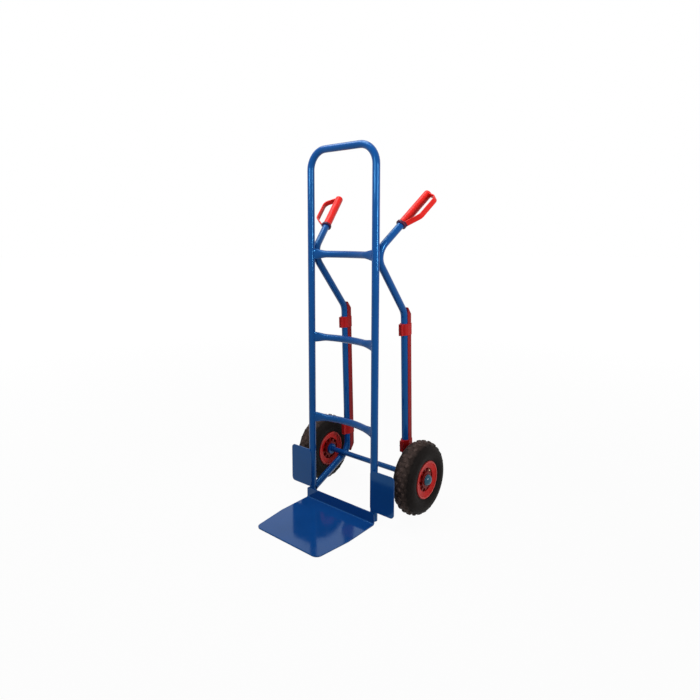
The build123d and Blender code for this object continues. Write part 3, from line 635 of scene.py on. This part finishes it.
def tread_tree():
    """Tyre casing with its rows of tread blocks."""
    tree, given, target = new_tree("Tyre Tread", {
        "Geometry": "Geometry", "Block": "Object", "Blocks": "Int", "Pitch": "Float", "Crown Arc": "Float",
        "Casing Radius": "Float", "Skew": "Float", "Finish": "Material"})
    row_tree = tread_row_tree()
    joined = add_node(tree, "GeometryNodeJoinGeometry")
    for row in TREAD_ROWS:
        group = add_node(tree, "GeometryNodeGroup", node_tree=row_tree)
        for name in ("Block", "Blocks", "Pitch", "Crown Arc", "Casing Radius"):
            tree.links.new(given[name], group.inputs[name])
        feed_all(tree, group, {
            "Row": row,
            "Half Step": row % 2,
            "Height Share": OUTER_ROW_SHARE if abs(row) == max(TREAD_ROWS) else 1.0,
            "Skew": maths(tree, "MULTIPLY", given["Skew"], (-1.0) ** row),
        })
        tree.links.new(group.outputs["Geometry"], joined.inputs["Geometry"])
    tree.links.new(given["Geometry"], joined.inputs["Geometry"])
    finish_tree(tree, joined.outputs["Geometry"], given["Finish"], target)
    return tree


# Shapes of the fine pieces

def arc_points(start, through, end, count):
    """Points on the arc through three (x, r) points."""
    ax, ay = start
    bx, by = through
    cx, cy = end
    d = 2 * (ax * (by - cy) + bx * (cy - ay) + cx * (ay - by))
    ux = ((ax**2 + ay**2) * (by - cy) + (bx**2 + by**2) * (cy - ay) + (cx**2 + cy**2) * (ay - by)) / d
    uy = ((ax**2 + ay**2) * (cx - bx) + (bx**2 + by**2) * (ax - cx) + (cx**2 + cy**2) * (bx - ax)) / d
    radius = hypot(ax - ux, ay - uy)
    first = atan2(ay - uy, ax - ux)
    last = atan2(cy - uy, cx - ux)
    turned = [first + (last - first) * k / (count - 1) for k in range(count)]
    return [(ux + radius * cos(a), uy + radius * sin(a)) for a in turned]


def crown_arc():
    """Radius of the arc across the crown, between the shoulders."""
    return (SHOULDER_X**2 + SHOULDER_DROP**2) / (2 * SHOULDER_DROP)


def casing_profile(casing_r):
    """Half outline of a tyre from crown to bead, with mould rings on its side."""
    shoulder = (SHOULDER_X, casing_r - SHOULDER_DROP)
    side = (TYRE_W / 2 - 0.8 * MM, (shoulder[1] + TYRE_BEAD[1]) / 2)
    arc = crown_arc()
    crown = []
    steps = 14
    for k in range(steps):
        a = asin(SHOULDER_X / arc) * k / steps
        crown.append((arc * sin(a), casing_r - arc + arc * cos(a)))
    outline = []
    for x, r in arc_points(shoulder, side, TYRE_BEAD, 84):
        ridge = 0.0
        for ring_r, height, width in SIDE_RINGS:
            ridge += height * MM * exp(-(((r / MM - ring_r) / width) ** 2))
        outline.append((x + ridge, r))
    return crown, outline


def tyre_casing(casing_r):
    """Closed casing of a tyre about the X axis."""
    crown, outline = casing_profile(casing_r)
    half = crown + outline + [(x * MM, r * MM) for x, r in TYRE_INSIDE]
    other = [(-x, r) for x, r in reversed(half) if x > 0]
    mesh = mesh_of(lathe(half + other, 144), "tyre_casing")
    shade_by_angle(mesh, 50)
    return mesh


def tread_block(sizes):
    """Rounded block with sloping sides, its top along +X and its length along Y."""
    shape = bmesh.new()
    bmesh.ops.create_cube(shape, size=1.0)
    for vert in shape.verts:
        top = vert.co.x > 0
        share = BLOCK_TOP_SHARE if top else BLOCK_FOOT_SHARE
        height = sizes.height - BLOCK_TRIM if top else -BLOCK_ROOT
        vert.co = (height, vert.co.y * sizes.length * share, vert.co.z * sizes.width * share)
    edges = [e for e in shape.edges if not all(v.co.x < 0 for v in e.verts)]
    bmesh.ops.bevel(shape, geom=edges, offset=BLOCK_BEVEL, segments=2, profile=0.6, affect="EDGES")
    mesh = mesh_of(shape, "tread_block")
    shade_by_angle(mesh, 60)
    return mesh


def hexagon_bolt(head_x, away, tail):
    """Chamfered hexagon head on a washer, seated at head_x and facing away, with a shank of tail mm."""
    shank = [(-tail, 0), (-tail, 2.4), (-tail + 0.6, 3.0), (0, 3.0)]
    washer = [(0, 5.8), (1.1, 5.8), (1.1, 5.0)]
    rings = [ring(x, r, BOLT_STEPS) for x, r in shank + washer]
    for x, corner_r in ((1.1, 5.6), (4.4, 5.6)):
        corners = []
        for k in range(BOLT_STEPS):
            a = tau * k / BOLT_STEPS
            r = corner_r * (cos(pi / 6) / cos((a + pi / 6) % (pi / 3) - pi / 6))
            corners.append((x, r * cos(a), r * sin(a)))
        rings.append(corners)
    rings += [ring(5.0, 4.7, BOLT_STEPS), ring(5.0, 0, BOLT_STEPS)]
    shape = bmesh.new()
    made = []
    for points in rings:
        made.append([shape.verts.new((head_x + away * x * MM, y * MM, z * MM)) for x, y, z in points])
    skin(shape, made, BOLT_STEPS)
    mesh = mesh_of(shape, "hexagon_bolt")
    shade_by_angle(mesh, 35)
    return mesh


def cut_away(mesh, cutter, name):
    """Mesh less another mesh."""
    body = scratch_object("body", mesh)
    tool = scratch_object("tool", cutter)
    modifier = body.modifiers.new("Cut", "BOOLEAN")
    modifier.object = tool
    modifier.operation = "DIFFERENCE"
    modifier.solver = "EXACT"
    graph = bpy.context.evaluated_depsgraph_get()
    result = bpy.data.meshes.new_from_object(body.evaluated_get(graph), depsgraph=graph)
    body.modifiers.remove(modifier)
    bpy.data.objects.remove(body)
    bpy.data.objects.remove(tool)
    result.name = name
    return result


def cross_recess_screw(head_r, head_h, shank_r, length):
    """Pan-head screw along X, its head on +X with a cross recess."""
    shank = [(-length, 0), (-length, 0.8 * shank_r), (-length + 0.8 * MM, shank_r), (0, shank_r)]
    dome = [(0, head_r), (0.45 * head_h, head_r), (0.8 * head_h, 0.86 * head_r)]
    dome += [(head_h, 0.5 * head_r), (head_h, 0)]
    body = mesh_of(lathe(shank + dome, 32), "screw")
    arm, half = 0.58 * head_r, 0.13 * head_r
    outline = []
    for y, z in ((1, 0), (0, 1), (-1, 0), (0, -1)):
        outline += [(arm * y + half * z, arm * z - half * y), (arm * y - half * z, arm * z + half * y)]
        outline.append((half * (y - z), half * (y + z)))
    cutter = bmesh.new()
    floor = [cutter.verts.new((0.42 * head_h, y, z)) for y, z in outline]
    roof = [cutter.verts.new((1.6 * head_h, y, z)) for y, z in outline]
    cutter.faces.new(floor)
    cutter.faces.new(roof)
    for k in range(len(outline)):
        cutter.faces.new((floor[k - 1], floor[k], roof[k], roof[k - 1]))
    screw = cut_away(body, mesh_of(cutter, "cross"), "cross_recess_screw")
    shade_by_angle(screw, 35)
    return screw


def fluted_cap(radius, bore, length):
    """Valve cap along X, open at its foot, with flutes round it and a domed end."""
    profile = [(0, bore), (0, 0.96 * radius), (0.05 * length, radius), (0.75 * length, radius)]
    profile += [(0.9 * length, 0.86 * radius), (length, 0.55 * radius), (length, 0)]
    profile += [(0.7 * length, 0), (0.7 * length, bore)]
    shape = lathe(profile, 72)
    flutes, depth = 18, 0.05
    for vert in shape.verts:
        if hypot(vert.co.y, vert.co.z) > 0.9 * radius:
            shrink = 1 - depth * (1 + cos(flutes * atan2(vert.co.z, vert.co.y)))
            vert.co.y *= shrink
            vert.co.z *= shrink
    mesh = mesh_of(shape, "fluted_cap", "brass")
    shade_by_angle(mesh, 40)
    return mesh


def screw_seats():
    """Points where the heads of the clip screws seat, from the packed screws."""
    split = middle("clip_screws").z
    groups = {}
    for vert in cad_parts["clip_screws"].data.vertices:
        groups.setdefault((vert.co.x > 0, vert.co.z > split), []).append(vert.co)
    seats = []
    for found in groups.values():
        low = [min(co[axis] for co in found) for axis in range(3)]
        high = [max(co[axis] for co in found) for axis in range(3)]
        seats.append((low[0] + SCREW_SEAT, (low[1] + high[1]) / 2, (low[2] + high[2]) / 2))
    return seats


def path_mesh(paths):
    """Mesh of edges from lists of points, each closed or open."""
    mesh = bpy.data.meshes.new("weld_paths")
    points, edges = [], []
    for path, closed in paths:
        first = len(points)
        points += [tuple(p) for p in path]
        edges += [(first + k, first + k + 1) for k in range(len(path) - 1)]
        if closed:
            edges.append((first + len(path) - 1, first))
    mesh.from_pydata(points, edges, [])
    return mesh


# Weld paths

def bar_end_paths():
    """Loops round the flat ends of the crossbars, on the legs' inner sides."""
    paths = []
    for word in ("lower", "middle", "upper"):
        centre = middle(f"crossbar_{word}")
        half_height = span(f"crossbar_{word}").z / 2
        half_depth = 3.6 * MM
        for sign in (1, -1):
            loop = []
            for k in range(PATH_STEPS):
                a = tau * k / PATH_STEPS
                y = half_depth * cos(a)
                x = LEG_X - sqrt(TUBE_R**2 - y**2)
                loop.append((sign * x, y, centre.z + half_height * sin(a)))
            paths.append((loop, True))
    return paths


def stay_foot_paths():
    """Where each stay's foot meets the back of its leg, apart from what lies past the leg's side."""
    start = Vector((SIDE_TUBE_X, AXLE.y, AXLE.z)) - STAY_NORMAL * (AXLE_R + TUBE_R)
    edge, lift = 0.4 * MM, 0.6 * MM
    paths = []
    for sign in (1, -1):
        path = []
        for k in range(-13, 27):
            a = tau * k / PATH_STEPS
            point = start + Vector((1, 0, 0)) * (TUBE_R * cos(a)) + STAY_NORMAL * (TUBE_R * sin(a))
            off = point.x - LEG_X
            if abs(off) > TUBE_R - edge:
                continue
            reach = (point.y - sqrt(TUBE_R**2 - off**2)) / -STAY_ALONG.y
            point += STAY_ALONG * reach
            path.append((sign * point.x, point.y + lift, point.z))
        paths.append((path, False))
    return paths


def axle_seat_paths():
    """In the corners between the axle and the stays that carry it."""
    outer_r, inner_r, seat_r = AXLE_R + 1.2 * MM, AXLE_R - 1.6 * MM, AXLE_R - 1.0 * MM
    paths = []
    for sign in (1, -1):
        for way in (1, -1):
            path = []
            for k in range(-8, 9):
                a = radians(8.0 * k)
                sink = TUBE_R - TUBE_R * cos(a)
                lie = way * sqrt(max(0.0, outer_r**2 - (inner_r - sink * 0.35) ** 2))
                point = Vector((SIDE_TUBE_X + TUBE_R * sin(a), AXLE.y, AXLE.z))
                point += STAY_ALONG * (lie * 0.92) - STAY_NORMAL * (seat_r + sink * 0.8)
                path.append((sign * point.x, point.y, point.z))
            paths.append((path, False))
    return paths


def plate_paths():
    """Beside the legs, where the toe plate's flange and the wheel guards lie against them."""
    front = -TUBE_R + 0.9 * MM
    flange_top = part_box("toe_plate")[1].z
    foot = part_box("main_hoop")[0].z
    guard_low, guard_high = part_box("wheel_guard_right")
    tack, margin, aside, end = 26 * MM, 10 * MM, 5.6 * MM, 1 * MM
    half_way = (guard_low.z + guard_high.z - tack) / 2
    paths = []
    for sign in (1, -1):
        for side in (-1, 1):
            x = sign * (LEG_X + side * aside)
            paths.append(([(x, front, foot + end), (x, front, flange_top - end)], False))
        x = sign * (LEG_X + aside)
        for low in (guard_low.z + margin, half_way, guard_high.z - margin - tack):
            paths.append(([(x, front, low), (x, front, low + tack)], False))
    return paths


def handle_bend_paths():
    """Beside the line where the handle's bend lies against the back of the leg."""
    step, aside = 2.1 * MM, 6.2 * MM
    paths = []
    for sign in (1, -1):
        for side in (-1, 1):
            path = []
            for k in range(-8, 9):
                rise = step * k
                away = rise**2 / (2 * HANDLE_BEND_R)
                x = sign * (HANDLE_TOUCH_X + side * aside)
                path.append((x, TUBE_R + away * 0.6, HANDLE_TOUCH_Z + rise))
            paths.append((path, False))
    return paths


# Operators

class HANDTRUCK_OT_frame_finish(bpy.types.Operator):
    """Paint the hoop, crossbars, side tubes, toe plate, guards, axle and collars"""

    bl_idname = "hand_truck.frame_finish"
    bl_label = "Frame Paint"

    def execute(self, context):
        dress("paint", "main_hoop", "toe_plate", "axle")
        dress("paint", "crossbar_lower", "crossbar_middle", "crossbar_upper")
        dress("paint", *both_sides("side_tube", "wheel_guard", "axle_collar"))
        return {"FINISHED"}


class HANDTRUCK_OT_welds(bpy.types.Operator):
    """Lay rippled weld beads where the tubes and plates are joined"""

    bl_idname = "hand_truck.welds"
    bl_label = "Weld Beads"

    def execute(self, context):
        sizes = context.scene.hand_truck_welds
        tree = bead_tree()
        groups = {
            "welds_crossbars": (bar_end_paths(), 1.0),
            "welds_stays": (stay_foot_paths(), 1.0),
            "welds_axle": (axle_seat_paths(), 1.15),
            "welds_plates": (plate_paths(), 0.9),
            "welds_handles": (handle_bend_paths(), 1.1),
        }
        for name, (paths, factor) in groups.items():
            mesh = grown(tree, path_mesh(paths), {
                "Radius": sizes.radius * factor, "Ripple": sizes.ripple, "Finish": finish_of("paint")})
            new_piece(name, mesh, "frame", "blue_paint")
        return {"FINISHED"}


class HANDTRUCK_OT_tyres(bpy.types.Operator):
    """Build the air-filled tyres with their rows of tread blocks and ringed sides"""

    bl_idname = "hand_truck.tyres"
    bl_label = "Tyres"

    def execute(self, context):
        sizes = context.scene.hand_truck_tread
        casing_r = TYRE_R - sizes.height
        block = scratch_object("tread_block", tread_block(sizes))
        tree = tread_tree()
        to_z = Matrix.Rotation(-pi / 2, 4, "Y")
        for word, sign in SIDES:
            casing = tyre_casing(casing_r)
            casing.transform(to_z)
            mesh = grown(tree, casing, {
                "Block": block, "Blocks": sizes.blocks, "Pitch": sizes.pitch, "Crown Arc": crown_arc(),
                "Casing Radius": casing_r, "Skew": sizes.skew, "Finish": finish_of("rubber")})
            mesh.transform(wheel_place(sign) @ to_z.inverted())
            new_piece(f"tyre_tread_{word}", mesh, f"wheel_{word}", "tyre_rubber", f"tyre_{word}")
        bpy.data.objects.remove(block)
        dress("tube", *both_sides("inner_tube"))
        return {"FINISHED"}


class HANDTRUCK_OT_rims(bpy.types.Operator):
    """Finish the split rims and give them chamfered bolts and nuts"""

    bl_idname = "hand_truck.rims"
    bl_label = "Rims and Bolts"

    def execute(self, context):
        dress("rim", *both_sides("rim_outer", "rim_inner"))
        dress("steel", *both_sides("axle_washer", "bearing_rollers"))
        dress("cage", *both_sides("bearing_cage"))
        tree = ring_of_copies_tree()
        kinds = (("rim_bolts", RIM_OUTER_WEB, 1, 26), ("rim_nuts", -RIM_INNER_WEB, -1, 0.4))
        for kind, seat, away, tail in kinds:
            bolt = scratch_object(kind, hexagon_bolt(seat, away, tail))
            for word, sign in SIDES:
                mesh = grown(tree, bpy.data.meshes.new("empty"), {
                    "Copy": bolt, "Count": RIM_BOLT_COUNT, "Radius": RIM_BOLT_R, "Start": RIM_BOLT_START,
                    "Finish": finish_of("steel")})
                mesh.transform(wheel_place(sign))
                new_piece(f"{kind}_fine_{word}", mesh, f"wheel_{word}", "zinc_steel", f"{kind}_{word}")
            bpy.data.objects.remove(bolt)
        return {"FINISHED"}


class HANDTRUCK_OT_hubs(bpy.types.Operator):
    """Finish the domed hub caps and give the valves fluted caps"""

    bl_idname = "hand_truck.hubs"
    bl_label = "Hub Caps and Valves"

    def execute(self, context):
        dress("cap", *both_sides("hub_cap"))
        out = Vector((0, cos(VALVE_ANGLE), sin(VALVE_ANGLE)))
        stem = Vector((sin(VALVE_TILT), 0, 0)) - out * cos(VALVE_TILT)
        foot = out * VALVE_BARREL_R + Vector((VALVE_SEAT_X, 0, 0)) + stem * VALVE_CAP_FOOT
        turn = Vector((1, 0, 0)).rotation_difference(stem).to_matrix().to_4x4()
        place = Matrix.Translation(foot) @ turn
        for word, sign in SIDES:
            mesh = fluted_cap(radius=5.25 * MM, bore=4.3 * MM, length=9 * MM)
            mesh.transform(wheel_place(sign) @ place)
            new_piece(f"valve_cap_fine_{word}", mesh, f"wheel_{word}", "valve_brass", f"valve_cap_{word}")
        return {"FINISHED"}


class HANDTRUCK_OT_grips(bpy.types.Operator):
    """Finish the hand grips with their knuckle guards"""

    bl_idname = "hand_truck.grips"
    bl_label = "Grips"

    def execute(self, context):
        dress("grip", *both_sides("grip"))
        return {"FINISHED"}


class HANDTRUCK_OT_skids(bpy.types.Operator):
    """Finish the skid rails and their clips, with cross-recess screws"""

    bl_idname = "hand_truck.skids"
    bl_label = "Skid Rails and Clips"

    def execute(self, context):
        dress("rail", *both_sides("skid_rail"))
        dress("clip", *both_sides("skid_clip_lower", "skid_clip_upper"))
        screw = cross_recess_screw(
            head_r=4 * MM, head_h=3.6 * MM, shank_r=2.5 * MM, length=12.5 * MM)
        screw.transform(Matrix.Rotation(pi, 4, "Z"))
        source = scratch_object("clip_screw", screw)
        points = bpy.data.meshes.new("screw_seats")
        points.from_pydata(screw_seats(), [], [])
        mesh = grown(copies_tree(), points, {"Copy": source, "Finish": finish_of("steel")})
        bpy.data.objects.remove(source)
        new_piece("clip_screws_fine", mesh, "frame", "zinc_steel", "clip_screws")
        return {"FINISHED"}


class HANDTRUCK_OT_stage(bpy.types.Operator):
    """Set up the pale floor, the soft studio light and the camera"""

    bl_idname = "hand_truck.stage"
    bl_label = "Stage"

    def execute(self, context):
        sizes = context.scene.hand_truck_stage
        self.floor(sizes)
        self.world(sizes)
        for name, place, aim, size, beam in LAMPS:
            self.lamp(name, place, aim, size, beam, getattr(sizes, name))
        self.camera()
        context.scene.view_settings.view_transform = "Standard"
        return {"FINISHED"}

    def floor(self, sizes):
        shape = bmesh.new()
        bmesh.ops.create_circle(shape, cap_ends=True, radius=30.0, segments=96)
        mesh = mesh_of(shape, "floor")
        if mesh.polygons[0].normal.z < 0:
            mesh.flip_normals()
        floor = bpy.data.objects.new("floor", mesh)
        floor.location = (0, 0, -0.0004)
        bpy.context.scene.collection.objects.link(floor)
        material = bpy.data.materials.new("stage_floor")
        material.use_nodes = True
        tree = material.node_tree
        tree.nodes.clear()
        matt = add_node(tree, "ShaderNodeBsdfDiffuse", {"Color": scaled(sizes.floor)})
        reach = length_from_origin(tree, add_node(tree, "ShaderNodeTexCoord").outputs["Object"])
        white = add_node(tree, "ShaderNodeEmission", {
            "Color": (1, 1, 1, 1), "Strength": spread(tree, reach, 1.03, 1.07, 1.0, 4.0)})
        mix = add_node(tree, "ShaderNodeMixShader", {"Fac": maths(tree, "MULTIPLY", self.seen(tree), 0.93)})
        tree.links.new(matt.outputs["BSDF"], mix.inputs[1])
        tree.links.new(white.outputs["Emission"], mix.inputs[2])
        add_node(tree, "ShaderNodeOutputMaterial", {"Surface": mix.outputs["Shader"]})
        mesh.materials.append(material)

    def seen(self, tree):
        """One for the rays that show the background, nought for those that only light the truck."""
        rays = add_node(tree, "ShaderNodeLightPath")
        seen = maths(tree, "MAXIMUM", rays.outputs["Is Camera Ray"], rays.outputs["Is Glossy Ray"])
        return maths(tree, "MAXIMUM", seen, rays.outputs["Is Transmission Ray"])

    def world(self, sizes):
        """White where it is seen, and a plain grey as light."""
        world = bpy.data.worlds.new("studio")
        bpy.context.scene.world = world
        world.use_nodes = True
        tree = world.node_tree
        feed_all(tree, tree.nodes["Background"], {
            "Color": (1, 1, 1, 1), "Strength": spread(tree, self.seen(tree), sizes.room, 1.0)})

    def lamp(self, name, place, aim, size, beam, power):
        data = bpy.data.lights.new(f"lamp_{name}", "AREA")
        data.shape = "RECTANGLE"
        data.size, data.size_y = size
        data.energy = power
        data.spread = radians(beam)
        lamp = bpy.data.objects.new(f"lamp_{name}", data)
        lamp.location = place
        lamp.rotation_euler = (Vector(aim) - Vector(place)).to_track_quat("-Z", "Y").to_euler()
        bpy.context.scene.collection.objects.link(lamp)

    def camera(self):
        """Camera at the photograph's place, angle and frame."""
        data = bpy.data.cameras.new("view")
        data.sensor_width = 36.0
        data.lens = CAMERA_LENS
        data.shift_x, data.shift_y = CAMERA_SHIFT
        data.clip_end = 200.0
        camera = bpy.data.objects.new("view", data)
        right = Vector((cos(CAMERA_AZIMUTH), sin(CAMERA_AZIMUTH), 0))
        level = Vector((-sin(CAMERA_AZIMUTH), cos(CAMERA_AZIMUTH), 0))
        forward = level * cos(CAMERA_ELEVATION) - Vector((0, 0, sin(CAMERA_ELEVATION)))
        up = right.cross(forward)
        turn = Matrix((right, up, -forward)).transposed()
        camera.matrix_world = Matrix.Translation(CAMERA_PLACE) @ turn.to_4x4()
        bpy.context.scene.collection.objects.link(camera)
        bpy.context.scene.camera = camera


class HANDTRUCK_PT_panel(bpy.types.Panel):
    """Sizes, colours and pieces of the hand truck"""

    bl_idname = "HANDTRUCK_PT_panel"
    bl_label = "Hand Truck"
    bl_space_type = "VIEW_3D"
    bl_region_type = "UI"
    bl_category = "Hand Truck"

    def draw(self, context):
        for label, group in GROUPS.items():
            held = getattr(context.scene, label)
            box = self.layout.box()
            box.label(text=group.__doc__)
            for name in group.__annotations__:
                box.prop(held, name)
        for operator in OPERATORS:
            self.layout.operator(operator.bl_idname)


GROUPS = {
    "hand_truck_colours": HandTruckColours,
    "hand_truck_tread": HandTruckTread,
    "hand_truck_welds": HandTruckWelds,
    "hand_truck_stage": HandTruckStage,
}
OPERATORS = (
    HANDTRUCK_OT_stage,
    HANDTRUCK_OT_frame_finish,
    HANDTRUCK_OT_welds,
    HANDTRUCK_OT_tyres,
    HANDTRUCK_OT_rims,
    HANDTRUCK_OT_hubs,
    HANDTRUCK_OT_grips,
    HANDTRUCK_OT_skids,
)


def register():
    for group in GROUPS.values():
        bpy.utils.register_class(group)
    for operator in OPERATORS:
        bpy.utils.register_class(operator)
    bpy.utils.register_class(HANDTRUCK_PT_panel)
    for label, group in GROUPS.items():
        setattr(bpy.types.Scene, label, bpy.props.PointerProperty(type=group))


def unregister():
    for label in GROUPS:
        delattr(bpy.types.Scene, label)
    bpy.utils.unregister_class(HANDTRUCK_PT_panel)
    for operator in reversed(OPERATORS):
        bpy.utils.unregister_class(operator)
    for group in reversed(GROUPS.values()):
        bpy.utils.unregister_class(group)


def main():
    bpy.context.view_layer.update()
    register()
    for name in ("stage", "frame_finish", "welds", "tyres", "rims", "hubs", "grips", "skids"):
        getattr(bpy.ops.hand_truck, name)()


if __name__ == "__main__":
    main()
